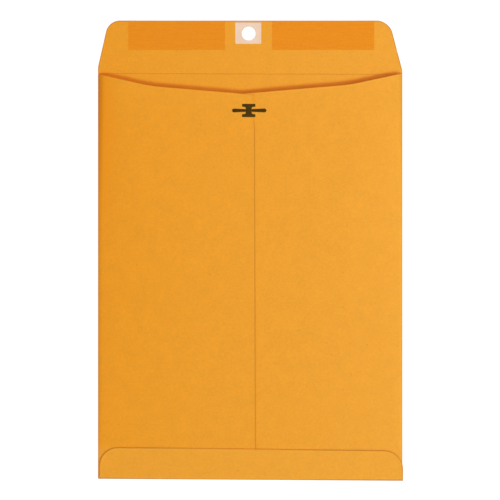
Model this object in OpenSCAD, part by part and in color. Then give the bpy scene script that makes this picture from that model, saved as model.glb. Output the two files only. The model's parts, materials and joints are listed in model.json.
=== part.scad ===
// Clasp envelope of kraft paper, lying on its front with the seal flap laid open.
// +Z is up, +Y runs from the bottom fold to the tip of the flap, and the origin is the middle
// of the footprint on the surface below. The back wall is drawn pressed flat and then turned
// about the bottom fold, so that the mouth stands a little open.

/* [Envelope] */
// Width across the two side folds
envelope_w = 228.6; // [200:0.1:330]
// Height from the bottom fold to the crease of the seal flap
envelope_h = 304.8; // [240:0.1:420]
// Thickness of the kraft paper
paper_t = 0.15; // [0.1:0.01:0.25]
// Thickness of a dried line of glue
glue_t = 0.05; // [0.03:0.01:0.1]
// Distance that glue keeps from the edges of the sheets it joins
glue_margin = 3; // [1:0.5:6]
// Angle at which the back wall stands open at the mouth
mouth_angle = 1; // [0.8:0.1:3]
// Width of the curved paper between a side fold and the back wall
gusset_w = 6.4; // [5:0.1:24]
// How steeply that paper rises from the side fold, where 1 is a straight slope
gusset_power = 2; // [1:0.1:4]
// Gap where a moving sheet meets a fixed one
fold_clear = 0.1; // [0.05:0.01:0.2]
// Room between the clasp's teeth and the front panel when pressed flat
pocket_clear = 0.1; // [0.05:0.01:1]

/* [Throat and seam] */
// Distance of each knee of the throat from the centre line
knee_x = 75; // [50:0.5:85]
// Depth of the knees below the crease
knee_drop = 8.4; // [4:0.1:12]
// Depth of the throat below the crease, at the centre line
throat_drop = 15.2; // [12.5:0.1:18]
// Distance of the left panel's free edge from the centre line, to the right
seam_edge_x = 3.2; // [2.6:0.1:8]
// Width of the right panel's tongue under the left panel
seam_overlap = 24; // [16:0.5:40]
// Width over which the right panel steps down to its tongue
jog_w = 2; // [1:0.1:4]

/* [Bottom flap] */
// Height of the bottom flap above the bottom fold
bottom_flap_h = 23.2; // [18:0.1:40]
// Radius of its two upper corners
bottom_flap_r = 12.5; // [6:0.1:16]
// Distance of its sides from the side folds
bottom_flap_inset = 0.8; // [0.4:0.1:4]

/* [Seal flap] */
// Length of the seal flap from the crease to its tip
flap_len = 40; // [40:0.1:60]
// Width across the sloping sides, measured at the tip
flap_tip_w = 210; // [196:0.1:220]
// Height of the straight shoulders beside the crease
flap_shoulder = 3.5; // [1:0.1:8]
// Radius of the two corners at the tip
flap_corner_r = 11; // [4:0.1:16]
// Depth of the score line along the crease
score_depth = 0.05; // [0.02:0.01:0.08]
// Room between the closed flap and the clasp below it
flap_clear = 0.15; // [0.1:0.01:0.5]

/* [Gum strips] */
// Height of the gum strips from the tip of the flap
gum_h = 22; // [12:0.1:30]
// Thickness of the dried gum
gum_t = 0.05; // [0.02:0.01:0.08]
// Length of the left strip
gum_left_w = 72.8; // [40:0.1:76]
// Distance of the left strip from the centre line
gum_left_x = 18.9; // [14:0.1:20]
// Length of the right strip
gum_right_w = 76.8; // [40:0.1:78]
// Distance of the right strip from the centre line
gum_right_x = 16.4; // [14:0.1:18]

/* [Eyelet] */
// Diameter of the eyelet hole
eyelet_d = 10.4; // [10:0.1:13]
// How much further than the clasp the eyelet lies from the crease
eyelet_lead = 2.5; // [0:0.1:2.7]
// Width of the reinforcing patch
patch_w = 19.4; // [16:0.1:24]
// Height of the reinforcing patch
patch_h = 16.4; // [14:0.1:18]
// Thickness of the reinforcing patch
patch_t = 0.1; // [0.05:0.01:0.2]

/* [Clasp] */
// Place of the clasp and the eyelet beside the centre line
clasp_x = -1.1; // [-2:0.1:0]
// Distance of the clasp's middle below the crease
clasp_drop = 27.8; // [24:0.1:29]
// Width of the clasp plate
clasp_w = 10; // [8:0.1:12]
// Height of the clasp plate
clasp_h = 9.9; // [8:0.1:12]
// Thickness of the stamped metal
clasp_t = 0.25; // [0.2:0.01:0.4]
// Height of the two bars of the clasp plate
bar_h = 2.2; // [1.6:0.1:2.4]
// Width of the web between the bars
web_w = 4.4; // [3.6:0.1:5]
// Radius where the web runs into the bars
web_r = 0.9; // [0.4:0.1:1.2]
// Distance between the tips of the flat prongs
prong_span = 25.6; // [20:0.1:32]
// Width of a prong at its round tip
prong_tip_w = 3; // [2.4:0.1:3.4]
// Width of a prong at its root
prong_root_w = 1.9; // [1.4:0.1:2.4]
// Running gap round the root of a prong
prong_gap = 0.05; // [0.03:0.01:0.1]
// Width of a tooth of the clasp
tooth_w = 1.2; // [0.8:0.1:1.6]
// Length of a tooth where it is clinched inside the pocket
tooth_len = 1.6; // [1:0.1:2]
// Thickness of a clinched tooth
tooth_t = 0.2; // [0.15:0.01:0.3]
// Distance of the teeth from the middle of the clasp, sideways
tooth_x = 2.6; // [2:0.1:2.8]

/* [Hidden] */
bottom_y = -(envelope_h + flap_len) / 2;
crease_y = bottom_y + envelope_h;
tip_y = crease_y + flap_len;
side_x = envelope_w / 2;

// Heights of the sheets when the envelope is pressed flat
tongue_z = paper_t + pocket_clear + tooth_t;
panel_z = tongue_z + paper_t + glue_t;
panel_top = panel_z + paper_t;
bottom_flap_z = panel_top + glue_t;
prong_z = panel_top + prong_gap;

// The bottom fold is a half round, and the back wall turns about its axis
fold_r = (bottom_flap_z + paper_t) / 2;
hinge_y = bottom_y + fold_r;
hinge_z = fold_r;
back_y = hinge_y + fold_clear;

// The flap turns about an axis half way up the closed stack
flap_axis_z = (prong_z + clasp_t + flap_clear + patch_t + paper_t) / 2;
score_r = flap_axis_z - paper_t + score_depth;

clasp_y = crease_y - clasp_drop;
eyelet_y = crease_y + clasp_drop + eyelet_lead;
prong_axis_x = web_w / 2 + prong_gap + clasp_t / 2;
tooth_y = (clasp_h - bar_h) / 2;
slit_w = tooth_w + 2 * prong_gap;
slit_h = clasp_t + 2 * prong_gap;

tongue_x = seam_edge_x - seam_overlap;
jog_x = seam_edge_x + fold_clear;
knee_s = side_x - knee_x;
knee_slope = (throat_drop - knee_drop) / knee_x;

arc_steps = 12;
bead_steps = 6;
gusset_steps = 8;
fold_steps = 12;
past = 1;
round_fn = 64;

kraft = [0.93, 0.62, 0.2];
gum = [0.91, 0.55, 0.14];
patch_white = [0.95, 0.82, 0.72];
glue = [0.87, 0.8, 0.62];
gunmetal = [0.26, 0.24, 0.16];

// Points of an arc about c, from angle a0 to angle a1
function arc(c, r, a0, a1) = [
    for (i = [0 : arc_steps])
        let (a = a0 + (a1 - a0) * i / arc_steps)
        c + r * [cos(a), sin(a)]
];

// Height of the throat's edge at a distance s from the side fold that the panel hangs on
function throat_y(s) = s < knee_s
    ? crease_y - knee_drop * s / knee_s
    : crease_y - knee_drop - knee_slope * (s - knee_s);

// Where a point of the flat back wall lies once the wall has been turned open
function opened(y, z) = [
    hinge_y + (y - hinge_y) * cos(mouth_angle) - (z - hinge_z) * sin(mouth_angle),
    hinge_z + (y - hinge_y) * sin(mouth_angle) + (z - hinge_z) * cos(mouth_angle)
];

module open_mouth() {
    translate([0, hinge_y, hinge_z])
        rotate([mouth_angle, 0, 0])
            translate([0, -hinge_y, -hinge_z])
                children();
}

// A rod along the flap's axis, which leaves the score line in the paper
module score_line() {
    translate([0, crease_y, flap_axis_z])
        rotate([0, 90, 0])
            cylinder(r = score_r, h = envelope_w + 2 * past, center = true, $fn = round_fn);
}

module front_panel() {
    width = envelope_w - 2 * paper_t;
    color(kraft)
        difference() {
            translate([-width / 2, hinge_y, 0])
                cube([width, crease_y - fold_clear / 2 - hinge_y, paper_t]);
            score_line();
        }
}

// Section of the left side fold at a share f of its height: the round bead of the crease, the
// upper face of the curved paper out to the back wall's edge, then its lower face back to the
// inside of the crease
function fold_section(f) =
    let (
        bead_x = -side_x + paper_t,
        bead_y = hinge_y + f * (crease_y - fold_clear / 2 - hinge_y),
        inner_x = -side_x + gusset_w - fold_clear,
        inner_y = back_y + f * (throat_y(gusset_w) - back_y),
        upper = opened(inner_y, panel_top),
        lower = opened(inner_y, panel_z)
    )
    concat(
        [
            for (i = [0 : bead_steps])
                let (a = -90 + 180 * i / bead_steps)
                [bead_x - paper_t * cos(a), bead_y, paper_t + paper_t * sin(a)]
        ],
        gusset_face([bead_x, bead_y, 2 * paper_t], [inner_x, upper[0], upper[1]], [1 : gusset_steps]),
        gusset_face([bead_x, bead_y, paper_t], [inner_x, lower[0], lower[1]], [gusset_steps : -1 : 0])
    );

// Points of a face of the curved paper, from the crease to the back wall's edge
function gusset_face(crease, edge, steps) = [
    for (j = steps)
        let (u = j / gusset_steps, rise = 1 - pow(1 - u, gusset_power))
        [
            crease[0] + (edge[0] - crease[0]) * u,
            crease[1] + (edge[1] - crease[1]) * u,
            crease[2] + (edge[2] - crease[2]) * rise
        ]
];

// A closed skin over the sections. Each end is a fan round the inside of the crease and a strip
// between the two faces of the paper
module side_fold() {
    n = bead_steps + 2 * gusset_steps + 2;
    points = [for (i = [0 : fold_steps]) each fold_section(i / fold_steps)];
    walls = [
        for (i = [0 : fold_steps - 1], j = [0 : n - 1])
            let (a = i * n + j, b = i * n + (j + 1) % n)
            each [[a, b, b + n], [a, b + n, a + n]]
    ];
    cap = concat(
        [for (i = [0 : bead_steps - 1]) [n - 1, i + 1, i]],
        [
            for (j = [0 : gusset_steps - 1])
                let (upper = bead_steps + j, lower = n - 1 - j)
                each [[lower, upper + 1, upper], [lower, lower - 1, upper + 1]]
        ]
    );
    top = fold_steps * n;
    far_cap = [for (t = cap) [top + t[0], top + t[2], top + t[1]]];
    polyhedron(points = points, faces = concat(walls, cap, far_cap));
}

module side_fold_left() {
    color(kraft)
        side_fold();
}

module side_fold_right() {
    color(kraft)
        mirror([1, 0, 0])
            side_fold();
}

// Half of a tube, open towards the mouth
module bottom_fold() {
    color(kraft)
        translate([0, hinge_y, hinge_z])
            rotate([0, 90, 0])
                linear_extrude(height = envelope_w, center = true)
                    difference() {
                        circle(r = fold_r, $fn = round_fn);
                        circle(r = fold_r - paper_t, $fn = round_fn);
                        translate([-fold_r - past, 0])
                            square([2 * fold_r + 2 * past, fold_r + past]);
                    }
}

// Outline of the left back panel, reaching to a distance s from its own side fold
module back_outline(s) {
    translate([-side_x, 0])
        polygon([
            [gusset_w, back_y],
            [s, back_y],
            [s, throat_y(s)],
            [knee_s, throat_y(knee_s)],
            [gusset_w, throat_y(gusset_w)]
        ]);
}

// The four places of the clasp's teeth, with up pointing away from the clasp's middle
module at_teeth() {
    for (x = [-tooth_x, tooth_x], turn = [0, 180])
        translate([clasp_x + x, clasp_y, 0])
            rotate([0, 0, turn])
                translate([0, tooth_y, 0])
                    children();
}

module slits() {
    at_teeth()
        translate([0, 0, tongue_z])
            cube([slit_w, slit_h, 2 * bottom_flap_z], center = true);
}

module back_panel_left() {
    color(kraft)
        open_mouth()
            difference() {
                translate([0, 0, panel_z])
                    linear_extrude(height = paper_t)
                        back_outline(side_x + seam_edge_x);
                slits();
            }
}

// The right panel lies level with the left one and steps down to its tongue at the seam
module back_panel_right() {
    color(kraft)
        open_mouth()
            difference() {
                intersection() {
                    mirror([1, 0, 0])
                        linear_extrude(height = bottom_flap_z)
                            back_outline(side_x - tongue_x);
                    rotate([90, 0, 0])
                        linear_extrude(height = 2 * envelope_h, center = true)
                            polygon([
                                [tongue_x, tongue_z],
                                [jog_x, tongue_z],
                                [jog_x + jog_w, panel_z],
                                [side_x, panel_z],
                                [side_x, panel_top],
                                [jog_x + jog_w, panel_top],
                                [jog_x, tongue_z + paper_t],
                                [tongue_x, tongue_z + paper_t]
                            ]);
                }
                slits();
            }
}

module seam_glue() {
    low_y = back_y + glue_margin;
    high_y = clasp_y - clasp_h / 2 - glue_margin;
    color(glue)
        open_mouth()
            translate([tongue_x + glue_margin, low_y, tongue_z + paper_t])
                cube([seam_overlap - 2 * glue_margin, high_y - low_y, glue_t]);
}

module bottom_flap() {
    edge_x = side_x - bottom_flap_inset;
    arc_x = edge_x - bottom_flap_r;
    arc_y = bottom_y + bottom_flap_h - bottom_flap_r;
    color(kraft)
        open_mouth()
            translate([0, 0, bottom_flap_z])
                linear_extrude(height = paper_t)
                    polygon(concat(
                        [[-edge_x, back_y], [edge_x, back_y]],
                        arc([arc_x, arc_y], bottom_flap_r, 0, 90),
                        arc([-arc_x, arc_y], bottom_flap_r, 90, 180)
                    ));
}

module bottom_flap_glue() {
    edge_x = side_x - gusset_w - glue_margin;
    low_y = back_y + glue_margin;
    high_y = bottom_y + bottom_flap_h - glue_margin;
    color(glue)
        open_mouth()
            translate([-edge_x, low_y, panel_top])
                cube([2 * edge_x, high_y - low_y, glue_t]);
}

// The I of the clasp plate: a rectangle less a window on each side with round inner corners
module clasp_outline() {
    window_h = clasp_h - 2 * bar_h;
    difference() {
        square([clasp_w, clasp_h], center = true);
        for (turn = [0, 180])
            rotate(turn)
                translate([web_w / 2, -window_h / 2]) {
                    translate([web_r, 0])
                        square([clasp_w, window_h]);
                    translate([0, web_r])
                        square([clasp_w, window_h - 2 * web_r]);
                    for (y = [web_r, window_h - web_r])
                        translate([web_r, y])
                            circle(r = web_r, $fn = round_fn);
                }
    }
}

// Each tooth goes down through the slits and is bent in under the tongue
module clasp_plate() {
    color(gunmetal)
        open_mouth()
            union() {
                translate([clasp_x, clasp_y, panel_top])
                    linear_extrude(height = clasp_t)
                        clasp_outline();
                at_teeth() {
                    translate([-tooth_w / 2, -clasp_t / 2, tongue_z - tooth_t])
                        cube([tooth_w, clasp_t, panel_top - tongue_z + tooth_t]);
                    translate([-tooth_w / 2, clasp_t / 2 - tooth_len, tongue_z - tooth_t])
                        cube([tooth_w, tooth_len, tooth_t]);
                }
            }
}

// The middle of the clasp, at the underside of the flat prongs
module at_clasp() {
    open_mouth()
        translate([clasp_x, clasp_y, prong_z])
            children();
}

// The right prong, laid flat: a round root about its bending axis and a blade with a round tip
module prong_blade() {
    tip_x = (prong_span - prong_tip_w) / 2;
    union() {
        linear_extrude(height = clasp_t) {
            polygon([
                [prong_axis_x, -prong_root_w / 2],
                [tip_x, -prong_tip_w / 2],
                [tip_x, prong_tip_w / 2],
                [prong_axis_x, prong_root_w / 2]
            ]);
            translate([tip_x, 0])
                circle(d = prong_tip_w, $fn = round_fn);
        }
        translate([prong_axis_x, 0, clasp_t / 2])
            rotate([90, 0, 0])
                linear_extrude(height = prong_root_w, center = true)
                    difference() {
                        circle(d = clasp_t, $fn = round_fn);
                        translate([0, -clasp_t])
                            square([clasp_t, 2 * clasp_t]);
                    }
    }
}

module prong_left() {
    color(gunmetal)
        at_clasp()
            mirror([1, 0, 0])
                prong_blade();
}

module prong_right() {
    color(gunmetal)
        at_clasp()
            prong_blade();
}

module eyelet_hole() {
    translate([clasp_x, eyelet_y, -past])
        cylinder(d = eyelet_d, h = 2 * past, $fn = round_fn);
}

// The flap has short straight shoulders, sides that slope in and two round corners
module seal_flap() {
    low_y = crease_y + fold_clear / 2;
    shoulder_y = crease_y + flap_shoulder;
    tip_x = flap_tip_w / 2;
    slope = atan2(side_x - tip_x, tip_y - shoulder_y);
    arc_y = tip_y - flap_corner_r;
    arc_x = tip_x - flap_corner_r * tan((90 - slope) / 2);
    color(kraft)
        difference() {
            linear_extrude(height = paper_t)
                polygon(concat(
                    [[-side_x, shoulder_y], [-side_x, low_y], [side_x, low_y], [side_x, shoulder_y]],
                    arc([arc_x, arc_y], flap_corner_r, slope, 90),
                    arc([-arc_x, arc_y], flap_corner_r, 90, 180 - slope)
                ));
            score_line();
            eyelet_hole();
        }
}

module gum_strip(x, width) {
    translate([x, tip_y - gum_h, paper_t])
        cube([width, gum_h, gum_t]);
}

module gum_strip_left() {
    color(gum)
        gum_strip(-gum_left_x - gum_left_w, gum_left_w);
}

module gum_strip_right() {
    color(gum)
        gum_strip(gum_right_x, gum_right_w);
}

module eyelet_patch() {
    color(patch_white)
        difference() {
            translate([clasp_x - patch_w / 2, eyelet_y - patch_h / 2, paper_t])
                cube([patch_w, patch_h, patch_t]);
            eyelet_hole();
        }
}

front_panel();
side_fold_left();
side_fold_right();
bottom_fold();
back_panel_left();
back_panel_right();
seam_glue();
bottom_flap();
bottom_flap_glue();
clasp_plate();
prong_left();
prong_right();
seal_flap();
gum_strip_left();
gum_strip_right();
eyelet_patch();
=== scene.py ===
# A clasp envelope of golden kraft paper, lying on its plain front with the seal flap laid open.
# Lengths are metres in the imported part's frame: Z up, Y from the bottom fold towards the flap.
import json
import math

import bmesh
import bpy
from mathutils import Matrix, Vector, noise


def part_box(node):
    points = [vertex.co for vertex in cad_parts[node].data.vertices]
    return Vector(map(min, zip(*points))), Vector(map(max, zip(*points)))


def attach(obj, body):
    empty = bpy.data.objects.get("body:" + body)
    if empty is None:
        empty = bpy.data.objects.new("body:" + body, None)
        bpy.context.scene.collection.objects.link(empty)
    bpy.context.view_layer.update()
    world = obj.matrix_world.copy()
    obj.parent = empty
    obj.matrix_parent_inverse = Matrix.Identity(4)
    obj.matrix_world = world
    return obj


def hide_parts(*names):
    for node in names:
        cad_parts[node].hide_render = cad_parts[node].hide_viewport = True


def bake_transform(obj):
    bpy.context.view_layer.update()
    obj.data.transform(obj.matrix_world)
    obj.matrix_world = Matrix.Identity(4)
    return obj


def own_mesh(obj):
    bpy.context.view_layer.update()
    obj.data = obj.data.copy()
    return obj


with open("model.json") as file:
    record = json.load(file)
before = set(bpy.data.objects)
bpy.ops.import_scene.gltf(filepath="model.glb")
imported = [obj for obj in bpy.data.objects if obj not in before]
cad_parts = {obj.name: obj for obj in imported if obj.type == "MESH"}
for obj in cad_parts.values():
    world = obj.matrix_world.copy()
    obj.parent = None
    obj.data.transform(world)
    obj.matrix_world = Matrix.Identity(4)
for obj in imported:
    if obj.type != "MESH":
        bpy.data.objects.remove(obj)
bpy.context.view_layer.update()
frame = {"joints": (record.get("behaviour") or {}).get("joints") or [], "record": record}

# Front panel and seal flap.
# One sheet of smooth golden kraft, die cut with sloping flap ends and round corners, punched for the
# clasp near the tip, and scored across where the flap folds over.
mm = 0.001
along_x = Vector((1, 0, 0))
along_y = Vector((0, 1, 0))
same_place = 1e-6
joints = {joint["name"]: joint for joint in frame["joints"]}
mounts = {mount["name"]: mount for mount in frame["record"]["mounts"]}
crease = Vector(joints["flap_fold"]["pos_m"])
panel_low, panel_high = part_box("front_panel")
flap_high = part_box("seal_flap")[1]
paper = panel_high.z - panel_low.z
tip_left = 106.3 * mm
tip_right = 104.4 * mm
shoulder_left_y = crease.y + 5.2 * mm
shoulder_right_y = crease.y + 2.4 * mm
shoulder_reach = 1.9 * mm
tip_left_reach = 8.2 * mm
tip_right_reach = 9.3 * mm
rim_rings = (0.35 * mm, 0.5 * mm)
rim_wear_and_shade_fade = 3 * mm
crease_strip = 0.5 * mm
score_depth = 0.05 * mm
score_half = 0.3 * mm
score_slant = -0.0033
score_wear_and_shade = 0.15 * mm
score_wear_and_shade_fade = 0.25 * mm
foot_slant = -0.0066
foot_from = -60 * mm
foot_to = -145 * mm
corner_curl = 0.2 * mm
corner_curl_length = 26 * mm
corner_curl_from = 55 * mm
corner_curl_width = 50 * mm
eyelet = Vector(mounts["eyelet_hole"]["pos_m"])
eyelet_r = mounts["eyelet_hole"]["dims"]["r_mm"] * mm
punch_length = 6 * mm
punch_sides = 72
smooth_angle = math.radians(40)


def add_node(tree, kind, inputs=None, **settings):
    """Adds a node with its settings, and sets or links the inputs that are named."""
    made = tree.nodes.new(kind)
    for key, value in settings.items():
        setattr(made, key, value)
    for key, value in (inputs or {}).items():
        if isinstance(value, bpy.types.NodeSocket):
            tree.links.new(value, made.inputs[key])
        else:
            made.inputs[key].default_value = value
    return made


def math_node(tree, operation, first, second=0.0, third=0.0):
    """One sum of up to three values or sockets."""
    made = add_node(tree, "ShaderNodeMath", {0: first, 1: second, 2: third}, operation=operation)
    return made.outputs["Value"]


def ramp(tree, value, span, levels=(0, 1)):
    """Goes from the first level to the second, and no further, as a value goes across its span."""
    made = add_node(tree, "ShaderNodeMapRange",
                    {"Value": value, "From Min": span[0], "From Max": span[1], "To Min": levels[0],
                     "To Max": levels[1]})
    return made.outputs[0]


def cloudy(tree, place, scale, detail, distortion=0.0):
    """Cloudy values between 0 and 1, finer with a larger scale and more ragged with more detail."""
    made = add_node(tree, "ShaderNodeTexNoise",
                    {"Vector": place, "Scale": scale, "Detail": detail, "Distortion": distortion})
    return made.outputs[0]


def stretched(tree, place, scale):
    """A place whose pattern is drawn out where the scale is below 1."""
    return add_node(tree, "ShaderNodeMapping", {"Vector": place, "Scale": scale}).outputs["Vector"]


def mix_colour(tree, share, first, second):
    """The colour that lies a share of the way from the first to the second."""
    made = add_node(tree, "ShaderNodeMix", {"Factor": share}, data_type="RGBA")
    for socket, colour in ((made.inputs[6], first), (made.inputs[7], second)):
        if isinstance(colour, bpy.types.NodeSocket):
            tree.links.new(colour, socket)
        else:
            socket.default_value = colour
    return made.outputs[2]


def new_pattern(name, *outputs):
    """An empty node group that turns a place into the values named, and the socket of that place."""
    pattern = bpy.data.node_groups.new(name, "ShaderNodeTree")
    pattern.interface.new_socket("Place", in_out="INPUT", socket_type="NodeSocketVector")
    for output in outputs:
        pattern.interface.new_socket(output, in_out="OUTPUT", socket_type="NodeSocketFloat")
    return pattern, add_node(pattern, "NodeGroupInput").outputs["Place"]


def new_finish(name):
    """An empty material with one Principled shader, and the tree and shader to build it in."""
    finish = bpy.data.materials.new(name)
    finish.use_nodes = True
    return finish, finish.node_tree, finish.node_tree.nodes["Principled BSDF"]


def object_place(tree):
    """Where a point of a piece lies, for the patterns that don't follow the folded blank."""
    return add_node(tree, "ShaderNodeTexCoord").outputs["Object"]


def add_bump(tree, shader, height, strength, depth):
    """Lets a pattern of heights roughen the surface of a finish."""
    bump = add_node(tree, "ShaderNodeBump", {"Height": height, "Strength": strength, "Distance": depth})
    tree.links.new(bump.outputs["Normal"], shader.inputs["Normal"])


def cut_blank(name, corners):
    """A flat sheet with these corners, made from a round blank whose points move out to them."""
    bpy.ops.object.select_all(action="DESELECT")
    bpy.ops.mesh.primitive_circle_add(vertices=len(corners), radius=mm, fill_type="NGON")
    sheet = bpy.context.object
    sheet.name = name
    sheet.data.name = name
    for vertex, (x, y) in zip(sheet.data.vertices, corners):
        vertex.co = (x, y, 0)
    return sheet


def pick(sheet, kind, wanted):
    """In edit mode, selects only the points, edges or faces whose middle is wanted."""
    bpy.ops.mesh.select_mode(type=kind)
    bpy.ops.mesh.select_all(action="DESELECT")
    shape = bmesh.from_edit_mesh(sheet.data)
    for part in {"VERT": shape.verts, "EDGE": shape.edges, "FACE": shape.faces}[kind]:
        if kind == "VERT":
            middle = part.co
        else:
            middle = sum((vertex.co for vertex in part.verts), Vector()) / len(part.verts)
        if wanted(middle):
            part.select_set(True)
    shape.select_flush_mode()
    bmesh.update_edit_mesh(sheet.data)


def round_corners(sheet, corners, reach, steps):
    """Rounds the outline at these corners, taking a length of reach from each side."""
    bpy.ops.object.mode_set(mode="EDIT")
    pick(sheet, "VERT",
         lambda at: any((at.xy - Vector(corner)).length < same_place for corner in corners))
    bpy.ops.mesh.bevel(offset=reach, segments=steps, affect="VERTICES")
    bpy.ops.object.mode_set(mode="OBJECT")


def ring_edges(sheet, widths):
    """Lays rings of points just inside the outline, so that the cut edge can wear or curl."""
    bpy.ops.object.mode_set(mode="EDIT")
    bpy.ops.mesh.select_all(action="SELECT")
    for width in widths:
        bpy.ops.mesh.inset(thickness=width)
    bpy.ops.object.mode_set(mode="OBJECT")


def slice_sheet(sheet, direction, places):
    """Cuts the sheet into strips at these places along X or Y, so that it can bend there."""
    bpy.ops.object.mode_set(mode="EDIT")
    for place in places:
        bpy.ops.mesh.select_all(action="SELECT")
        bpy.ops.mesh.bisect(plane_co=direction * place, plane_no=direction)
    bpy.ops.object.mode_set(mode="OBJECT")


def spaced(start, end, count):
    """Places evenly spaced from start to end."""
    return [start + (end - start) * step / (count - 1) for step in range(count)]


def ease(share):
    """A share from 0 to 1 that starts and ends gently."""
    share = min(max(share, 0), 1)
    return share * share * (3 - 2 * share)


def mark_rim(sheet, wear_and_shade):
    """Marks the cut edge of a flat sheet and its first ring to be darkened, partly as wear and partly as
    painted shade, by the amount at each place.
    """
    shape = bmesh.new()
    shape.from_mesh(sheet.data)
    cut_edge = {vertex for vertex in shape.verts if vertex.is_boundary}
    first_ring = {edge.other_vert(vertex) for vertex in cut_edge for edge in vertex.link_edges
                  if edge.calc_length() < 1.5 * rim_rings[0]}
    darkened_rim = {vertex.index for vertex in cut_edge | first_ring}
    shape.free()
    marks = sheet.data.attributes.new("rim", "FLOAT", "POINT")
    for vertex in sheet.data.vertices:
        marks.data[vertex.index].value = wear_and_shade(vertex.co) if vertex.index in darkened_rim else 0


def thicken(sheet, depth, *finishes):
    """Gives a flat sheet its finishes and thickness, half to each side, with the last on its rim."""
    for finish in finishes:
        sheet.data.materials.append(finish)
    bpy.ops.object.mode_set(mode="EDIT")
    bpy.ops.mesh.select_all(action="SELECT")
    bpy.ops.mesh.remove_doubles(threshold=same_place / 10)
    bpy.ops.mesh.normals_make_consistent(inside=False)
    bpy.ops.object.mode_set(mode="OBJECT")
    wall = sheet.modifiers.new("thickness", "SOLIDIFY")
    wall.thickness = depth
    wall.offset = 0
    wall.material_offset_rim = max(len(finishes) - 1, 0)
    bpy.ops.object.modifier_apply(modifier=wall.name)


def punch_eyelet(piece):
    """Punches the eyelet's round hole straight down through a piece."""
    bpy.ops.object.select_all(action="DESELECT")
    bpy.ops.mesh.primitive_cylinder_add(vertices=punch_sides, radius=eyelet_r, depth=punch_length,
                                        location=(eyelet.x, eyelet.y, 0))
    tool = bpy.context.object
    tool.data.materials.append(kraft_cut)
    piece.select_set(True)
    bpy.context.view_layer.objects.active = piece
    hole = piece.modifiers.new("hole", "BOOLEAN")
    hole.operation = "DIFFERENCE"
    hole.material_mode = "TRANSFER"
    hole.object = tool
    bpy.ops.object.modifier_apply(modifier=hole.name)
    bpy.data.objects.remove(tool)


def keep_grain(sheet, creased):
    """Keeps where each point lies on the blank, and how creased it is, for the paper's finish, which
    darkens the crease partly as wear and partly as painted shade.
    """
    places = sheet.data.attributes.new("blank", "FLOAT_VECTOR", "POINT")
    for vertex in sheet.data.vertices:
        places.data[vertex.index].vector = vertex.co
    creases = sheet.data.attributes.new("crease", "FLOAT", "POINT")
    for vertex in sheet.data.vertices:
        creases.data[vertex.index].value = creased(vertex.co)
    bpy.ops.object.shade_smooth_by_angle(angle=smooth_angle)


def score_distance(at):
    """How far a point lies from the score line, which runs a little out of square."""
    return abs(at.y - crease.y - score_slant * at.x)


def skew_foot(piece):
    """Turns the lower end of a finished piece a little out of square, as the bottom fold was made."""
    for vertex in piece.data.vertices:
        turned = ease((foot_from - vertex.co.y) / (foot_from - foot_to))
        vertex.co.y += foot_slant * vertex.co.x * turned


def flap_lift(x, y):
    """How far the dry flap's two tip corners curl up from the surface it lies on."""
    along = ease((y - (flap_high.y - corner_curl_length)) / corner_curl_length)
    return corner_curl * along * ease((abs(x) - corner_curl_from) / corner_curl_width)


# The paper's own pattern: cloudy formation, fine mottling, hair-like fibres and a few bark specks.
fibre_stretch = (1, 0.45, 1)
fibre_half = 0.035
fibre_height = 0.35
speck_rarity = 0.93
speck_fade = (0.06, 0.16)
kraft_grain, place = new_pattern("kraft_grain", "Cloud", "Mottle", "Fibre", "Fleck", "Height")
cloud = cloudy(kraft_grain, place, scale=110, detail=2)
mottle = cloudy(kraft_grain, place, scale=620, detail=3)
drawn_out = stretched(kraft_grain, place, fibre_stretch)
hairs = cloudy(kraft_grain, drawn_out, scale=1500, detail=1, distortion=1.2)
hair_line = math_node(kraft_grain, "ABSOLUTE", math_node(kraft_grain, "SUBTRACT", hairs, 0.5))
fibre = ramp(kraft_grain, hair_line, (0, fibre_half), (1, 0))
speck = add_node(kraft_grain, "ShaderNodeTexVoronoi", {"Vector": drawn_out, "Scale": 330}).outputs
rare = add_node(kraft_grain, "ShaderNodeSeparateColor", {"Color": speck["Color"]}).outputs[0]
is_speck = math_node(kraft_grain, "GREATER_THAN", rare, speck_rarity)
fleck = math_node(kraft_grain, "MULTIPLY", is_speck,
                  ramp(kraft_grain, speck["Distance"], speck_fade, (1, 0)))
relief = math_node(kraft_grain, "MULTIPLY_ADD", fibre, fibre_height, mottle)
add_node(kraft_grain, "NodeGroupOutput",
         {"Cloud": cloud, "Mottle": mottle, "Fibre": fibre, "Fleck": fleck, "Height": relief})

# Golden kraft: painted paler towards the right, as painted light in place of the light from the right,
# and a little paler towards the flap and on the bottom flap. A painted shade deepens the orange along
# the left fold near the mouth, where the paper rolls away from the light. Paler fibres, dark specks, and
# creases and cut edges darkened partly by wear and partly by painted shade.
kraft_deep = (0.845, 0.312, 0.010, 1)
kraft_pale = (0.850, 0.354, 0.030, 1)
kraft_fibre = (0.90, 0.42, 0.075, 1)
kraft_bark = (0.42, 0.13, 0.012, 1)
# A darker tone for creases and cut edges: partly wear, partly painted shade.
kraft_worn_and_shaded = (0.60, 0.205, 0.014, 1)
# Painted shade: a deeper orange for the left fold near the mouth, where the paper rolls away from the
# light.
kraft_painted_fold_shade = (0.88, 0.292, 0.007, 1)
kraft_roughness = (0.66, 0.8)
kraft_gloss = 0.2
mottle_span = (0.3, 0.7)
cloudiness = 0.10
mottling = 0.22
fibre_show = 0.12
bark_show = 0.35
crease_show = 0.6
rim_show = 0.95
# Painted light: the span over which the sheet turns paler towards the right, in place of the light from
# the right.
painted_light_drift_x = (-115 * mm, 115 * mm)
foot_tone_y = (-150 * mm, -147 * mm)
foot_tone = 0.4
flap_tone_y = (95 * mm, 125 * mm)
flap_tone = 0.8
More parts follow.
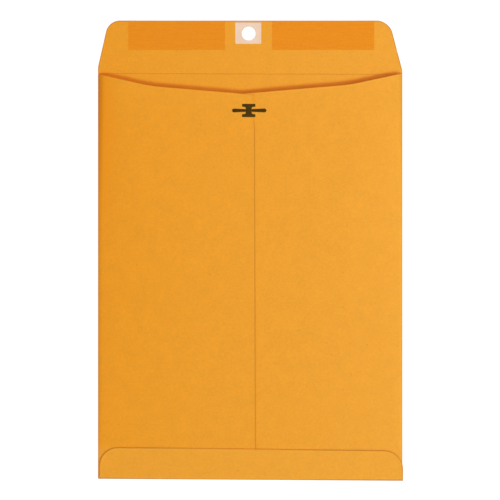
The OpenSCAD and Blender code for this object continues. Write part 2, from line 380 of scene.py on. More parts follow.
# Where the painted shade along the left fold lies.
fold_shade_x = (-113 * mm, -97 * mm)
fold_shade_from_y = (0, 90 * mm)
fold_shade_to_y = (125 * mm, 135 * mm)
golden_kraft, tree, shader = new_finish("golden_kraft")
blank = add_node(tree, "ShaderNodeAttribute", attribute_name="blank").outputs["Vector"]
grain = add_node(tree, "ShaderNodeGroup", {"Place": blank}, node_tree=kraft_grain).outputs
where = add_node(tree, "ShaderNodeSeparateXYZ", {"Vector": blank}).outputs
# Painted light: the sheet is painted paler towards the right, standing in for the light from the right.
deep = ramp(tree, where["X"], painted_light_drift_x, (1, 0))
deep = math_node(tree, "MULTIPLY", deep, ramp(tree, where["Y"], foot_tone_y, (foot_tone, 1)))
deep = math_node(tree, "MULTIPLY", deep, ramp(tree, where["Y"], flap_tone_y, (1, flap_tone)))
even_shade = 1 - (cloudiness + mottling) / 2
shade = math_node(tree, "MULTIPLY_ADD", grain["Cloud"], cloudiness, even_shade)
shade = math_node(tree, "MULTIPLY_ADD", grain["Mottle"], mottling, shade)
colour = mix_colour(tree, deep, kraft_pale, kraft_deep)
shaded = add_node(tree, "ShaderNodeVectorMath", {0: colour, "Scale": shade}, operation="SCALE")
fibres = math_node(tree, "MULTIPLY", grain["Fibre"], fibre_show)
colour = mix_colour(tree, fibres, shaded.outputs[0], kraft_fibre)
colour = mix_colour(tree, math_node(tree, "MULTIPLY", grain["Fleck"], bark_show), colour, kraft_bark)
# Painted shade: a deeper orange along the left fold near the mouth, where the paper rolls away from the
# light.
fold_shade = math_node(tree, "MULTIPLY", ramp(tree, where["X"], fold_shade_x, (1, 0)),
                    ramp(tree, where["Y"], fold_shade_from_y))
fold_shade = math_node(tree, "MULTIPLY", fold_shade, ramp(tree, where["Y"], fold_shade_to_y, (1, 0)))
colour = mix_colour(tree, fold_shade, colour, kraft_painted_fold_shade)
# Creases are darkened, partly as wear and partly as painted shade in the crease.
creased = add_node(tree, "ShaderNodeAttribute", attribute_name="crease").outputs["Fac"]
colour = mix_colour(tree, math_node(tree, "MULTIPLY", creased, crease_show), colour, kraft_worn_and_shaded)
# Cut edges are darkened, partly as wear and partly as painted shade along the edge; on the bottom flap
# it is painted shadow.
rim_darkening = add_node(tree, "ShaderNodeAttribute", attribute_name="rim").outputs["Fac"]
colour = mix_colour(tree, math_node(tree, "MULTIPLY", rim_darkening, rim_show), colour, kraft_worn_and_shaded)
tree.links.new(colour, shader.inputs["Base Color"])
rough = ramp(tree, grain["Mottle"], mottle_span, kraft_roughness)
tree.links.new(rough, shader.inputs["Roughness"])
add_bump(tree, shader, grain["Height"], strength=0.25, depth=0.03 * mm)
shader.inputs["Specular IOR Level"].default_value = kraft_gloss

# The cut rim of the sheet, where the pulp shows paler and rougher than the calendered faces.
pulp_dark = (0.66, 0.27, 0.04, 1)
pulp_pale = (0.86, 0.46, 0.13, 1)
kraft_cut, tree, shader = new_finish("kraft_cut_edge")
pulp = cloudy(tree, object_place(tree), scale=5000, detail=2)
colour = mix_colour(tree, pulp, pulp_dark, pulp_pale)
tree.links.new(colour, shader.inputs["Base Color"])
add_bump(tree, shader, pulp, strength=0.5, depth=0.05 * mm)
shader.inputs["Roughness"].default_value = 0.9
shader.inputs["Specular IOR Level"].default_value = kraft_gloss

# The sheet is sliced finely across the crease, where it turns, and widely over the flap and the panel.
front_outline = [
    (-panel_high.x, panel_low.y), (panel_high.x, panel_low.y), (panel_high.x, crease.y),
    (flap_high.x, crease.y), (flap_high.x, shoulder_right_y), (tip_right, flap_high.y),
    (-tip_left, flap_high.y), (-flap_high.x, shoulder_left_y), (-flap_high.x, crease.y),
    (-panel_high.x, crease.y),
]
front_sheet = cut_blank("front_sheet", front_outline)
round_corners(front_sheet, [front_outline[5]], tip_right_reach, steps=14)
round_corners(front_sheet, [front_outline[6]], tip_left_reach, steps=12)
round_corners(front_sheet, [front_outline[4], front_outline[7]], shoulder_reach, steps=4)
ring_edges(front_sheet, rim_rings)
slice_sheet(front_sheet, along_y, spaced(crease.y - 2 * crease_strip, crease.y + 2 * crease_strip, 33))
slice_sheet(front_sheet, along_y, spaced(crease.y + 4 * mm, flap_high.y - 2 * mm, 10))
slice_sheet(front_sheet, along_y, spaced(panel_low.y + 19 * mm, crease.y - 19 * mm, 15))
slice_sheet(front_sheet, along_x, spaced(-110 * mm, 110 * mm, 23))
# The flap's cut edge is darkened, partly as wear and partly as painted shade.
mark_rim(front_sheet, lambda at: ease((at.y - crease.y) / rim_wear_and_shade_fade))
for vertex in front_sheet.data.vertices:
    vertex.co.z = paper / 2 + flap_lift(vertex.co.x, vertex.co.y)
thicken(front_sheet, paper, golden_kraft, kraft_cut)
for vertex in front_sheet.data.vertices:
    if vertex.co.z > paper / 2:
        vertex.co.z -= score_depth * (1 - ease(score_distance(vertex.co) / score_half))
punch_eyelet(front_sheet)
# The score line is darkened, partly as wear and partly as painted shade in the crease.
keep_grain(front_sheet, lambda at: 1 - ease((score_distance(at) - score_wear_and_shade) / score_wear_and_shade_fade))
skew_foot(front_sheet)
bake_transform(front_sheet)
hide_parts("front_panel", "seal_flap")

# Back panels with their side folds.
# The two sides of the blank, folded over the front and lapped at the middle, the left one on top. A
# shallow throat is cut at the mouth, which stands open a little and is pressed flat as the flap shuts.
hinge = Vector(joints["mouth_press"]["pos_m"])
mouth = -math.radians(joints["mouth_press"]["range_deg"][0])
fold_x = 114.1 * mm
fold_width = 13 * mm
fold_steps = 8
fold_bead = 0.1 * mm
fold_wear_and_shade = 0.4 * mm
bead_z = 0.175 * mm
panel_z = 0.725 * mm
roll_low_width = 3.4 * mm
roll_high_width = 4.8 * mm
roll_low = 0.7 * mm
roll_high_left = 2.4 * mm
roll_high_right = 3.6 * mm
roll_most = 0.8
roll_grows_from = 0.6
bow_at_bottom = 100 * mm
bow_at_mouth = 22 * mm
back_y = hinge.y + 0.1 * mm
knee_x = 75 * mm
knee_drop = 8.5 * mm
knee_reach = 8 * mm
throat_drop = 14.8 * mm
throat_lower_left = 1.0 * mm
throat_lower_right = 0
throat_curl = 0.35 * mm
curl_width = 3 * mm
edge_rings = (0.35 * mm, 0.25 * mm, 0.6 * mm, 0.8 * mm, 0.9 * mm)
seam_x = 3.5 * mm
seam_slant = -0.0033
seam_slant_y = 40 * mm
seam_curl = 0.15 * mm
seam_pull = 0.6 * mm
seam_pull_width = 10 * mm
seam_wear_and_shade_width = 0.6 * mm
seam_least_wear_and_shade = 0.35
lap_depth = 0.2 * mm
lap_outside = 0.7 * mm
lap_inside = 0.2 * mm
lap_from = 2.4 * mm
lap_to = 4.9 * mm
tongue_x = 20.8 * mm
tongue_flat = 4 * mm
tongue_flat_fade = 10 * mm
held_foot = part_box("bottom_flap")[1].y
held_foot_fade = 3 * mm
held_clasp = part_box("clasp_plate")[0].y
held_clasp_fade = 8 * mm


def spin_fold(sheet, wanted, centre, axis, turn):
    """Rolls the edge that is wanted round the inside of a fold."""
    bpy.ops.object.mode_set(mode="EDIT")
    pick(sheet, "EDGE", wanted)
    bpy.ops.mesh.spin(steps=fold_steps, angle=turn, center=centre, axis=axis)
    bpy.ops.object.mode_set(mode="OBJECT")


def opened(point, share):
    """Where a point of the pressed envelope goes, with its share of the mouth's opening."""
    return hinge + Matrix.Rotation(mouth * share, 3, "X") @ (point - hinge)


def risen(inward, width):
    """The share of its rise that paper has at a distance in from its fold, steep first, then level."""
    return 1 - min(max(1 - inward / width, 0), 1) ** 2


def raised(inward, y, roll_high):
    """The share of the mouth's opening at a distance in from a side fold: a roll, then a long bow."""
    up = (y - hinge.y) / (crease.y - hinge.y)
    near_mouth = ease((up - roll_grows_from) / (1 - roll_grows_from))
    roll_height = roll_low + (roll_high - roll_low) * near_mouth
    roll_width = roll_low_width + (roll_high_width - roll_low_width) * near_mouth
    roll = min(roll_most, roll_height / max((y - hinge.y) * mouth, paper))
    bow_width = bow_at_bottom + (bow_at_mouth - bow_at_bottom) * up
    return roll * risen(inward, roll_width) + (1 - roll) * risen(inward, bow_width)


def press_flat(piece):
    """Lets a piece of the back ride on the envelope, with a mesh of its own."""
    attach(piece, "envelope")
    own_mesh(piece)


def throat_y(out, lower):
    """The throat's edge at a distance out from the middle line, towards a panel's own side fold."""
    if out > knee_x:
        return crease.y - lower / 2 - (knee_drop + lower / 2) * (fold_x - out) / (fold_x - knee_x)
    return crease.y - lower - throat_drop + (throat_drop - knee_drop) * out / knee_x


def middle_edge(past_middle, y):
    """How far past the middle line a panel's inner edge lies: it runs a little out of square."""
    return past_middle + seam_slant * (y - seam_slant_y)


def clasp_hold(y):
    """How firmly the clasp holds the seam down: not at all well below it, fully from its foot up."""
    return ease(1 - (held_clasp - y) / held_clasp_fade)


def curl(distance, height):
    """How far a cut edge curls up at a distance in from it."""
    return height * max(0, 1 - distance / curl_width) ** 2


def seam_wear_and_shade(at):
    """How dark the left panel's edge is along the seam, partly as wear and partly as painted shade:
    least where the clasp holds it down.
    """
    if at.x < middle_edge(seam_x, at.y) - seam_wear_and_shade_width:
        return 0
    return 1 - (1 - seam_least_wear_and_shade) * clasp_hold(at.y)


# Each panel is sliced finely at its side fold, where it rolls, and where it is held down.
for side, hand, past_middle, lower, roll_high in (
        (-1, "left", seam_x, throat_lower_left, roll_high_left),
        (1, "right", tongue_x, throat_lower_right, roll_high_right)):
    knee = (side * knee_x, throat_y(knee_x, lower))
    back_sheet = cut_blank("back_sheet_" + hand, [
        (side * fold_x, back_y), (-side * middle_edge(past_middle, back_y), back_y),
        (-side * middle_edge(past_middle, crease.y - throat_drop), throat_y(-past_middle, lower)), knee,
        (side * fold_x, throat_y(fold_x, lower))])
    round_corners(back_sheet, [knee], knee_reach, steps=10)
    ring_edges(back_sheet, edge_rings)
    for near, far, count in ((fold_x - 0.3 * mm, fold_x - roll_high_width, 16),
                             (fold_x - 6 * mm, fold_x - 18 * mm, 9), (10 * mm, 92 * mm, 17)):
        slice_sheet(back_sheet, along_x, spaced(side * near, side * far, count))
    slice_sheet(back_sheet, along_y, spaced(back_y + 12 * mm, crease.y - 8 * mm, 24))
    slice_sheet(back_sheet, along_y, spaced(held_foot, held_foot + held_foot_fade, 3))
    slice_sheet(back_sheet, along_y, spaced(held_clasp - held_clasp_fade, held_clasp, 5))
    if side < 0:
        # The seam edge is darkened, partly as wear and partly as painted shade.
        mark_rim(back_sheet, seam_wear_and_shade)
    else:
        slice_sheet(back_sheet, along_x, spaced(lap_from, lap_to, 14))
    for vertex in back_sheet.data.vertices:
        out = side * vertex.co.x
        share = raised(fold_x - out, vertex.co.y, roll_high)
        height = bead_z + fold_bead + (panel_z - bead_z - fold_bead) * risen(fold_x - out, fold_width)
        rim = curl(throat_y(out, lower) - vertex.co.y, throat_curl) * share
        hold = clasp_hold(vertex.co.y)
        if side < 0:
            inside = middle_edge(seam_x, vertex.co.y) - vertex.co.x
            free = (1 - hold) * ease((vertex.co.y - held_foot) / held_foot_fade)
            rim += curl(inside, seam_curl) * free
            vertex.co.x -= seam_pull * hold * ease(1 - inside / seam_pull_width)
        else:
            inside = middle_edge(seam_x, vertex.co.y) - seam_pull * hold - out
            height -= lap_depth * ease((inside + lap_outside) / (lap_outside + lap_inside))
            rim *= ease((out - tongue_flat) / tongue_flat_fade)
        vertex.co = opened(Vector((vertex.co.x, vertex.co.y, height + rim)), share)
    spin_fold(back_sheet, lambda at: side * at.x > fold_x - same_place, (side * fold_x, 0, bead_z),
              along_y, -side * math.pi)
    thicken(back_sheet, paper, golden_kraft, kraft_cut)
    # The side fold's outer edge is darkened, partly as wear and partly as painted shade.
    keep_grain(back_sheet, lambda at: ease((side * at.x - fold_x + fold_wear_and_shade) / fold_wear_and_shade))
    skew_foot(back_sheet)
    press_flat(back_sheet)
    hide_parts("back_panel_" + hand, "side_fold_" + hand)

# Bottom flap with its fold.
# The lower end of the blank, folded up over both back panels and glued to them. It is cut with round
# corners, and its free edge lifts a little from the paper under it.
bottom_radius = 0.425 * mm
bottom_top = -149.25 * mm
bottom_slant = -0.0049
bottom_fold_left = -114.1 * mm
bottom_left = -113.1 * mm
bottom_right = 114.75 * mm
bottom_taper = 3 * mm
bottom_corner = 14 * mm
bottom_curl = 0.6 * mm
bottom_curl_clear = 8 * mm
bottom_bend = 2.4 * mm
bottom_bend_early = 0.5 * mm
bottom_fold_wear_and_shade = 0.3 * mm
bottom_least_shadow = 0.3
bottom_more_shadow = 0.5
bottom_shadow_x = -15 * mm
bottom_shadow_from = 30 * mm
bottom_shadow_fade = 50 * mm
fold_line = 0.01 * mm


def inside_bottom(x, y):
    """How far a point lies inside the bottom flap's rounded outline."""
    past_x = max(x - bottom_right, bottom_left - x) + bottom_corner
    past_y = y - (bottom_top + bottom_slant * x - bottom_corner)
    if past_x > 0 and past_y > 0:
        return bottom_corner - math.hypot(past_x, past_y)
    return bottom_corner - max(past_x, past_y)


def bottom_edge_shadow(at):
    """How dark the painted shadow along the bottom flap's edge is: least about its middle, more towards
    the sides.
    """
    sideways = ease((abs(at.x - bottom_shadow_x) - bottom_shadow_from) / bottom_shadow_fade)
    return bottom_least_shadow + bottom_more_shadow * sideways


bottom_outline = [(bottom_fold_left, hinge.y), (bottom_right, hinge.y),
                  (bottom_right, bottom_top + bottom_slant * bottom_right),
                  (bottom_left, bottom_top + bottom_slant * bottom_left),
                  (bottom_left, hinge.y + bottom_taper)]
bottom_sheet = cut_blank("bottom_sheet", bottom_outline)
round_corners(bottom_sheet, bottom_outline[2:4], bottom_corner, steps=14)
ring_edges(bottom_sheet, edge_rings)
slice_sheet(bottom_sheet, along_x, spaced(-100 * mm, 100 * mm, 11))
slice_sheet(bottom_sheet, along_y, spaced(hinge.y + 0.2 * mm, hinge.y + bottom_bend, 11))
slice_sheet(bottom_sheet, along_y, spaced(hinge.y + 6 * mm, bottom_top - 4 * mm, 4))
# Painted shadow along the bottom flap's free edge, darker towards the sides.
mark_rim(bottom_sheet, bottom_edge_shadow)
for vertex in bottom_sheet.data.vertices:
    x, y = vertex.co.xy
    clear_of_fold = ease((y - hinge.y) / bottom_curl_clear)
    height = hinge.z + bottom_radius + curl(inside_bottom(x, y), bottom_curl) * clear_of_fold
    share = ease((y - hinge.y + bottom_bend_early) / bottom_bend) * raised(fold_x - abs(x), y, roll_low)
    vertex.co = opened(Vector((x, y, height)), share)
spin_fold(bottom_sheet, lambda at: at.y < hinge.y + fold_line, hinge, along_x, -math.pi)
thicken(bottom_sheet, paper, golden_kraft, kraft_cut)
# The bottom fold is darkened, partly as wear and partly as painted shade.
keep_grain(bottom_sheet, lambda at: ease((hinge.y - at.y) / bottom_fold_wear_and_shade))
skew_foot(bottom_sheet)
press_flat(bottom_sheet)
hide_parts("bottom_flap", "bottom_fold")

# Glue of the seam and of the bottom flap.
# Two thin lines of dried paste between the sheets, rolled on before folding, with round ends and edges
# that wander a little. They lie hidden in the lap of the back panels and under the bottom flap.
paste_depth = 0.05 * mm
paste_end = 2 * mm
paste_margin = 3 * mm
paste_wander = 0.3 * mm
paste_waves = 150
paste_dark = (0.62, 0.48, 0.22, 1)
paste_pale = (0.8, 0.68, 0.42, 1)
seam_paste_z = panel_z - lap_depth / 2
bottom_paste_z = panel_z + lap_depth / 2
paste, tree, shader = new_finish("dried_paste")
rolled = cloudy(tree, object_place(tree), scale=900, detail=3)
colour = mix_colour(tree, rolled, paste_dark, paste_pale)
tree.links.new(colour, shader.inputs["Base Color"])
add_bump(tree, shader, rolled, strength=0.4, depth=0.03 * mm)
shader.inputs["Roughness"].default_value = 0.55
for node, middle_z in (("seam_glue", seam_paste_z), ("bottom_flap_glue", bottom_paste_z)):
    low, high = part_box(node)
    paste_outline = [(low.x, low.y), (high.x, low.y), (high.x, high.y), (low.x, high.y)]
    line = cut_blank(node + "_line", paste_outline)
    round_corners(line, paste_outline, paste_end, steps=5)
    slice_sheet(line, along_x, spaced(low.x + paste_margin, high.x - paste_margin, 12))
    slice_sheet(line, along_y, spaced(low.y + paste_margin, high.y - paste_margin, 24))
    for vertex in line.data.vertices:
        x, y = vertex.co.xy
        wander = paste_wander * noise.noise(Vector((x, y, 0)) * paste_waves)
        share = raised(fold_x - abs(x), y, roll_low)
        vertex.co = opened(Vector((x + wander, y + wander, middle_z)), share)
    thicken(line, paste_depth, paste)
    bpy.ops.object.shade_smooth_by_angle(angle=smooth_angle)
    skew_foot(line)
    press_flat(line)
    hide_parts(node)

# Clasp base.
# A small I-shaped plate stamped from dark sheet metal, with soft edges and flared corners at the web.
# Four teeth at the ends of its bars go through both back panels and are clinched inside the pocket.
clasp = Vector((-1.1 * mm, 104.6 * mm, 0.8 * mm))
metal = 0.25 * mm
bar_side = 5 * mm
bar_top = 4.95 * mm
bar_inner = 2.75 * mm
web_side = 2.2 * mm
web_fillet = 1.2 * mm
bar_corner = 0.5 * mm
bar_end_drop = 0.12 * mm
bar_end_from = 3.2 * mm
bar_end_slices = (3.4 * mm, 3.8 * mm, 4.2 * mm, 4.6 * mm)
stamped_edge = 0.06 * mm
stamped_angle = math.radians(50)
tooth_x = 2.6 * mm
tooth_y = 3.85 * mm
tooth_half = 0.6 * mm
tooth_drop = 0.35 * mm
tooth_depth = 0.2 * mm
tooth_bend = 1.35 * mm

# Dark stamped metal with smoky tarnish, rolling lines along X and fine scratches, and the brighter
# metal of its rubbed edges.
rolling_stretch = (0.05, 1, 1)
scratch_span = (0.62, 0.72)
scratch_show = 0.4
metal_skin, place = new_pattern("metal_skin", "Tarnish", "Scratch", "Height")
tarnish = cloudy(metal_skin, place, scale=450, detail=4)
drawn_out = stretched(metal_skin, place, rolling_stretch)
rolling = cloudy(metal_skin, drawn_out, scale=9000, detail=2)
scratch = ramp(metal_skin, rolling, scratch_span)
add_node(metal_skin, "NodeGroupOutput", {"Tarnish": tarnish, "Scratch": scratch, "Height": rolling})


def metal_finish(name, dark, light, worn, roughness):
    """A metal with tarnish between two tones, and scratches that show its worn colour."""
    finish, tree, shader = new_finish(name)
    place = object_place(tree)
    skin = add_node(tree, "ShaderNodeGroup", {"Place": place}, node_tree=metal_skin).outputs
    colour = mix_colour(tree, skin["Tarnish"], dark, light)
    colour = mix_colour(tree, math_node(tree, "MULTIPLY", skin["Scratch"], scratch_show), colour, worn)
    tree.links.new(colour, shader.inputs["Base Color"])
    rough = ramp(tree, skin["Tarnish"], mottle_span, roughness)
    tree.links.new(rough, shader.inputs["Roughness"])
    add_bump(tree, shader, skin["Height"], strength=0.15, depth=0.01 * mm)
    shader.inputs["Metallic"].default_value = 1
    return finish


clasp_metal = metal_finish(
    "dark_clasp_metal", dark=(0.017, 0.009, 0.001, 1), light=(0.056, 0.035, 0.006, 1),
    worn=(0.13, 0.10, 0.04, 1), roughness=(0.38, 0.56))
rubbed_metal = metal_finish(
    "rubbed_clasp_edge", dark=(0.03, 0.024, 0.01, 1), light=(0.09, 0.078, 0.04, 1),
    worn=(0.2, 0.18, 0.11, 1), roughness=(0.28, 0.46))


def soften_edges(piece):
    """Rounds the sharp edges of a metal piece, and gives the rounding the rubbed finish."""
    piece.data.materials.append(clasp_metal)
    piece.data.materials.append(rubbed_metal)
    edges = piece.modifiers.new("edges", "BEVEL")
    edges.width = stamped_edge
    edges.segments = 3
    edges.limit_method = "ANGLE"
    edges.angle_limit = stamped_angle
    edges.material = 1
    bpy.ops.object.modifier_apply(modifier=edges.name)
    bpy.ops.object.mode_set(mode="EDIT")
    bpy.ops.mesh.select_all(action="SELECT")
    bpy.ops.mesh.dissolve_degenerate(threshold=same_place)
    bpy.ops.object.mode_set(mode="OBJECT")
    bpy.ops.object.shade_smooth_by_angle(angle=smooth_angle)


def lowest(piece):
    """The height of a piece's lowest point in edit mode."""
    return min(vertex.co.z for vertex in bmesh.from_edit_mesh(piece.data).verts)


def drive_tooth(piece, place, inwards):
    """Draws a tooth down from the plate's underside, clinches it inwards, and joins it to the plate."""
    half = metal / 2
    tooth = cut_blank("tooth", [(place.x + x, place.y + y) for x, y in (
        (-tooth_half, -half), (tooth_half, -half), (tooth_half, half), (-tooth_half, half))])
    for vertex in tooth.data.vertices:
        vertex.co.z = place.z + half
    bpy.ops.object.mode_set(mode="EDIT")
    for drop in (half + tooth_drop, tooth_depth):
        pick(tooth, "FACE", lambda at: at.z < lowest(tooth) + same_place)
        bpy.ops.mesh.extrude_region_move(TRANSFORM_OT_translate={"value": (0, 0, -drop)})
    foot_z = place.z - tooth_drop - tooth_depth / 2
    pick(tooth, "FACE",
         lambda at: abs(at.z - foot_z) < same_place and (at.y - place.y) * inwards > same_place)
    bpy.ops.mesh.extrude_region_move(TRANSFORM_OT_translate={"value": (0, inwards * tooth_bend, 0)})
    bpy.ops.mesh.select_all(action="SELECT")
    bpy.ops.mesh.normals_make_consistent(inside=False)
    bpy.ops.object.mode_set(mode="OBJECT")
    bpy.ops.object.select_all(action="DESELECT")
    piece.select_set(True)
    bpy.context.view_layer.objects.active = piece
    joint = piece.modifiers.new("tooth", "BOOLEAN")
    joint.operation = "UNION"
    joint.object = tooth
    bpy.ops.object.modifier_apply(modifier=joint.name)
    bpy.data.objects.remove(tooth)


def open_with_back(piece):
    """Turns a piece that is fixed to the back wall by the whole of the mouth's opening."""
    for vertex in piece.data.vertices:
        vertex.co = opened(vertex.co, 1)


base_corners = [
    (-bar_side, -bar_top), (bar_side, -bar_top), (bar_side, -bar_inner), (web_side, -bar_inner),
    (web_side, bar_inner), (bar_side, bar_inner), (bar_side, bar_top), (-bar_side, bar_top),
    (-bar_side, bar_inner), (-web_side, bar_inner), (-web_side, -bar_inner), (-bar_side, -bar_inner),
]
base_corners = [(clasp.x + x, clasp.y + y) for x, y in base_corners]
clasp_base = cut_blank("clasp_base", base_corners)
round_corners(clasp_base, [base_corners[i] for i in (3, 4, 9, 10)], web_fillet, steps=6)
round_corners(clasp_base, [base_corners[i] for i in (0, 1, 2, 5, 6, 7, 8, 11)], bar_corner, steps=4)
slice_sheet(clasp_base, along_x, [clasp.x - x for x in reversed(bar_end_slices)])
slice_sheet(clasp_base, along_x, [clasp.x + x for x in bar_end_slices])
for vertex in clasp_base.data.vertices:
    end = ease((abs(vertex.co.x - clasp.x) - bar_end_from) / (bar_side - bar_end_from))
    vertex.co.z = clasp.z + metal / 2 - bar_end_drop * end ** 2
thicken(clasp_base, metal)
for across, along in ((-1, -1), (1, -1), (-1, 1), (1, 1)):
    drive_tooth(clasp_base, clasp + Vector((across * tooth_x, along * tooth_y, 0)), -along)
soften_edges(clasp_base)
open_with_back(clasp_base)
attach(clasp_base, "back_wall")
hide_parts("clasp_plate")

# Clasp prongs.
# Two tongues of the same soft metal, hinged where they leave the web. They are crowned along the middle,
# widen towards a round tip, and bend up to go through the eyelet.
prong_root = 2.25 * mm
prong_root_half = 0.95 * mm
prong_tip_left = 12.4 * mm
prong_tip_right = 13.2 * mm
prong_tip_half = 1.5 * mm
prong_tip_round = 0.98
prong_tip_narrowing = 0.5
prong_lift = 0.05 * mm
prong_crown = 0.09 * mm
prong_neck = 1.5 * mm
for side, hand, prong_tip in ((-1, "left", prong_tip_left), (1, "right", prong_tip_right)):
    tip = [(clasp.x + side * prong_tip, clasp.y + y) for y in (-prong_tip_half, prong_tip_half)]
    root = [(clasp.x + side * prong_root, clasp.y + y) for y in (prong_root_half, -prong_root_half)]
    prong = cut_blank("clasp_prong_" + hand, tip + root)
    round_corners(prong, tip, prong_tip_half * prong_tip_round, steps=8)
    slice_sheet(prong, along_y, spaced(clasp.y - 1.2 * mm, clasp.y + 1.2 * mm, 9))
    slice_sheet(prong, along_x, spaced(clasp.x + side * 3 * mm, clasp.x + side * 11.5 * mm, 8))
    for vertex in prong.data.vertices:
        out = abs(vertex.co.x - clasp.x)
        half = prong_tip_half - max(0, out - prong_tip + prong_tip_half) * prong_tip_narrowing
        crown = prong_crown * max(0, 1 - ((vertex.co.y - clasp.y) / half) ** 2)
        crown *= ease((out - prong_root) / prong_neck)
        vertex.co.z = clasp.z + prong_lift + metal / 2 + crown
    thicken(prong, metal)
    soften_edges(prong)
    open_with_back(prong)
    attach(prong, "prong_" + hand)
    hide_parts("prong_" + hand)

# Gum strips.
# Two bands of gum rolled on the inside of the flap and left to dry, glossier and deeper in colour than
# the bare paper, with faint roller streaks along the band and slightly wandering edges.
gum_rings = (0.3 * mm, 0.5 * mm)
gum_margin = 1.5 * mm
gum_wander = 0.12 * mm
gum_waves = 400
gum_tip_gap = 0.9 * mm
gum_edge = 0.5 * mm
gum_edge_drop = 0.015 * mm
gum_deep = (0.70, 0.200, 0.003, 1)
gum_pale = (0.92, 0.315, 0.009, 1)
gum_roughness = (0.34, 0.5)
streak_stretch = (0.06, 1, 1)
dried_gum, tree, shader = new_finish("dried_gum")
place = object_place(tree)
grain = add_node(tree, "ShaderNodeGroup", {"Place": place}, node_tree=kraft_grain).outputs
streak = cloudy(tree, stretched(tree, place, streak_stretch), scale=1400, detail=2)
wet = math_node(tree, "MULTIPLY_ADD", grain["Mottle"], 0.5, math_node(tree, "MULTIPLY", streak, 0.5))
colour = mix_colour(tree, wet, gum_deep, gum_pale)
colour = mix_colour(tree, math_node(tree, "MULTIPLY", grain["Fleck"], bark_show), colour, kraft_bark)
tree.links.new(colour, shader.inputs["Base Color"])
tree.links.new(ramp(tree, streak, mottle_span, gum_roughness), shader.inputs["Roughness"])
add_bump(tree, shader, wet, strength=0.2, depth=0.02 * mm)
shader.inputs["Specular IOR Level"].default_value = 0.12
for hand in ("left", "right"):
    low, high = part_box("gum_strip_" + hand)
    high.y -= gum_tip_gap
    gum = cut_blank("gum_" + hand, [(low.x, low.y), (high.x, low.y), (high.x, high.y), (low.x, high.y)])
    ring_edges(gum, gum_rings)
    slice_sheet(gum, along_x, spaced(low.x + gum_margin, high.x - gum_margin, 30))
    slice_sheet(gum, along_y, spaced(low.y + gum_margin, high.y - gum_margin, 12))
    for vertex in gum.data.vertices:
        x, y = vertex.co.xy
        wander = gum_wander * noise.noise(Vector((x, y, 0)) * gum_waves)
        inner = min(x - low.x, high.x - x, y - low.y, high.y - y)
        vertex.co.y += wander if y < high.y - gum_edge else 0
        vertex.co.x += wander
        sunk = gum_edge_drop * (1 - ease(inner / gum_edge))
        vertex.co.z = (low.z + high.z) / 2 + flap_lift(x, y) - sunk
    thicken(gum, high.z - low.z, dried_gum)
    bpy.ops.object.shade_smooth_by_angle(angle=smooth_angle)
    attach(gum, "flap")
    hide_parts("gum_strip_" + hand)

# Eyelet patch.
# A small square of thin pale paper glued over the eyelet and punched with it, so that the prongs don't
# tear the flap. The kraft shows through it faintly.
patch_low, patch_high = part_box("eyelet_patch")
patch_corner = 0.9 * mm
patch_rings = (0.35 * mm, 0.45 * mm)
patch_darkened_band = 0.9 * mm
patch_undarkened_band = 1.3 * mm
patch_left = -11.2 * mm
patch_right = 8.3 * mm
patch_foot = 155 * mm
patch_top = 171.9 * mm
patch_thin = (0.79, 0.49, 0.31, 1)
patch_thick = (0.93, 0.73, 0.58, 1)
patch_fibre = (0.96, 0.84, 0.74, 1)
patch_fibre_show = 0.2
# A darker tone for the patch's top edge: partly soil, partly painted shade.
patch_soil_and_shade = (0.62, 0.34, 0.13, 1)
patch_soil_and_shade_show = 0.8
pale_patch, tree, shader = new_finish("pale_patch")
place = object_place(tree)
grain = add_node(tree, "ShaderNodeGroup", {"Place": place}, node_tree=kraft_grain).outputs
through = math_node(tree, "MULTIPLY_ADD", grain["Cloud"], 0.5,
                    math_node(tree, "MULTIPLY", grain["Mottle"], 0.5))
colour = mix_colour(tree, through, patch_thin, patch_thick)
fibres = math_node(tree, "MULTIPLY", grain["Fibre"], patch_fibre_show)
colour = mix_colour(tree, fibres, colour, patch_fibre)
# The patch's top edge is darkened, partly as soil and partly as painted shade.
rim_darkening = add_node(tree, "ShaderNodeAttribute", attribute_name="rim").outputs["Fac"]
colour = mix_colour(tree, math_node(tree, "MULTIPLY", rim_darkening, patch_soil_and_shade_show), colour, patch_soil_and_shade)
tree.links.new(colour, shader.inputs["Base Color"])
add_bump(tree, shader, grain["Height"], strength=0.3, depth=0.03 * mm)
shader.inputs["Roughness"].default_value = 0.7
shader.inputs["Specular IOR Level"].default_value = 0.25
patch_outline = [(patch_left, patch_foot), (patch_right, patch_foot), (patch_right, patch_top),
                 (patch_left, patch_top)]
patch = cut_blank("hole_patch", patch_outline)
round_corners(patch, patch_outline, patch_corner, steps=5)
ring_edges(patch, patch_rings)
slice_sheet(patch, along_y, (patch_top - patch_darkened_band, patch_top - patch_undarkened_band))
# The band along the patch's top edge is darkened, partly as soil and partly as painted shade.
patch_edge_darkening = patch.data.attributes.new("rim", "FLOAT", "POINT")
for vertex in patch.data.vertices:
    below = patch_top - vertex.co.y
    patch_edge_darkening.data[vertex.index].value = ease((patch_undarkened_band - below) / (patch_undarkened_band - patch_darkened_band))
    vertex.co.z = (patch_low.z + patch_high.z) / 2
thicken(patch, patch_high.z - patch_low.z, pale_patch, kraft_cut)
punch_eyelet(patch)
bpy.ops.object.shade_smooth_by_angle(angle=smooth_angle)
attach(patch, "flap")
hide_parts("eyelet_patch")

# Studio.
# A white table top in a white room, with cool light from the lower right, a small panel at the right and
# a warm lamp far above. For the camera the table also glows up to white, more with distance from them.
table_size = 8
table_drop = 0.2 * mm
table_tone = (0.45, 0.45, 0.45, 1)
glow_distance = (0.4, 1.2)
glow_strength = (0.66, 0.9)
white = (1, 1, 1, 1)
room_tone = (1.2, 0.95, 0.92, 1)
room_fill = 0.26


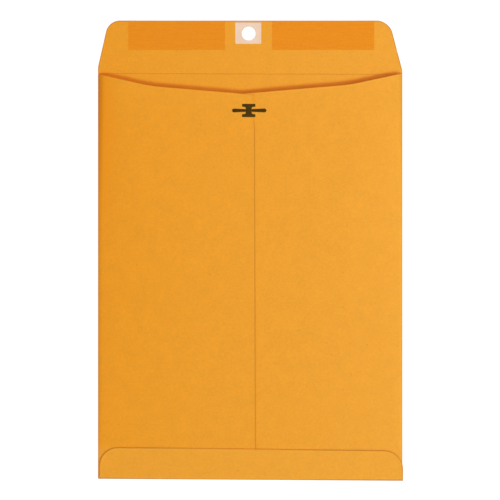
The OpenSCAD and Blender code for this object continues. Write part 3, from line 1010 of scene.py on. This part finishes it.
def seen_share(tree):
    """1 where the camera sees a surface, straight or in metal or glass, and 0 where it only lights."""
    rays = add_node(tree, "ShaderNodeLightPath").outputs
    seen = math_node(tree, "MAXIMUM", rays["Is Camera Ray"], rays["Is Glossy Ray"])
    return math_node(tree, "MAXIMUM", seen, rays["Is Transmission Ray"])


def add_light(kind, name, place, energy, colour):
    """A light that shines from its place on to the middle of the table."""
    bpy.ops.object.light_add(type=kind, location=place)
    light = bpy.context.object
    light.name = name
    light.rotation_euler = Vector(place).to_track_quat("Z", "Y").to_euler()
    light.data.energy = energy
    light.data.color = colour
    return light.data


bpy.ops.object.select_all(action="DESELECT")
bpy.ops.mesh.primitive_plane_add(size=table_size, location=(0, 0, -table_drop))
table_top = bpy.context.object
table_top.name = "table_top"
white_table, tree, shader = new_finish("white_table")
shader.inputs["Base Color"].default_value = table_tone
shader.inputs["Roughness"].default_value = 0.9
shader.inputs["Specular IOR Level"].default_value = 0
shader.inputs["Emission Color"].default_value = white
away = add_node(tree, "ShaderNodeVectorMath", {0: object_place(tree)}, operation="LENGTH")
glow = ramp(tree, away.outputs["Value"], glow_distance, glow_strength)
glow = math_node(tree, "MULTIPLY", seen_share(tree), glow)
tree.links.new(glow, shader.inputs["Emission Strength"])
table_top.data.materials.append(white_table)

world = bpy.data.worlds.new("studio")
bpy.context.scene.world = world
world.use_nodes = True
tree = world.node_tree
background = tree.nodes["Background"]
seen = seen_share(tree)
tree.links.new(mix_colour(tree, seen, room_tone, white), background.inputs["Color"])
tree.links.new(ramp(tree, seen, (0, 1), (room_fill, 1)), background.inputs["Strength"])

window = add_light("SUN", "window", (0.164, -0.504, 0.848), energy=1.6, colour=(0.52, 1.0, 1.015))
window.angle = math.radians(16)
side_panel = add_light("AREA", "side_panel", (0.8, -0.05, 0.8), energy=3.9, colour=(1, 1, 1))
side_panel.size = 0.5
far_lamp = add_light("AREA", "far_lamp", (0, 1.2, 3), energy=21.5, colour=(1.39, 0.69, 0.69))
far_lamp.size = 1.6

# The camera looks straight down, from far enough away for the picture to be nearly without perspective.
lens = 150
sensor = 36
view_width = 375.6 * mm
view_middle = (-0.15 * mm, 0.13 * mm)
bpy.ops.object.camera_add(location=(*view_middle, view_width * lens / sensor), rotation=(0, 0, 0))
camera = bpy.context.object
camera.name = "camera"
camera.data.lens = lens
camera.data.sensor_width = sensor
bpy.context.scene.camera = camera
bpy.context.scene.view_settings.view_transform = "Standard"
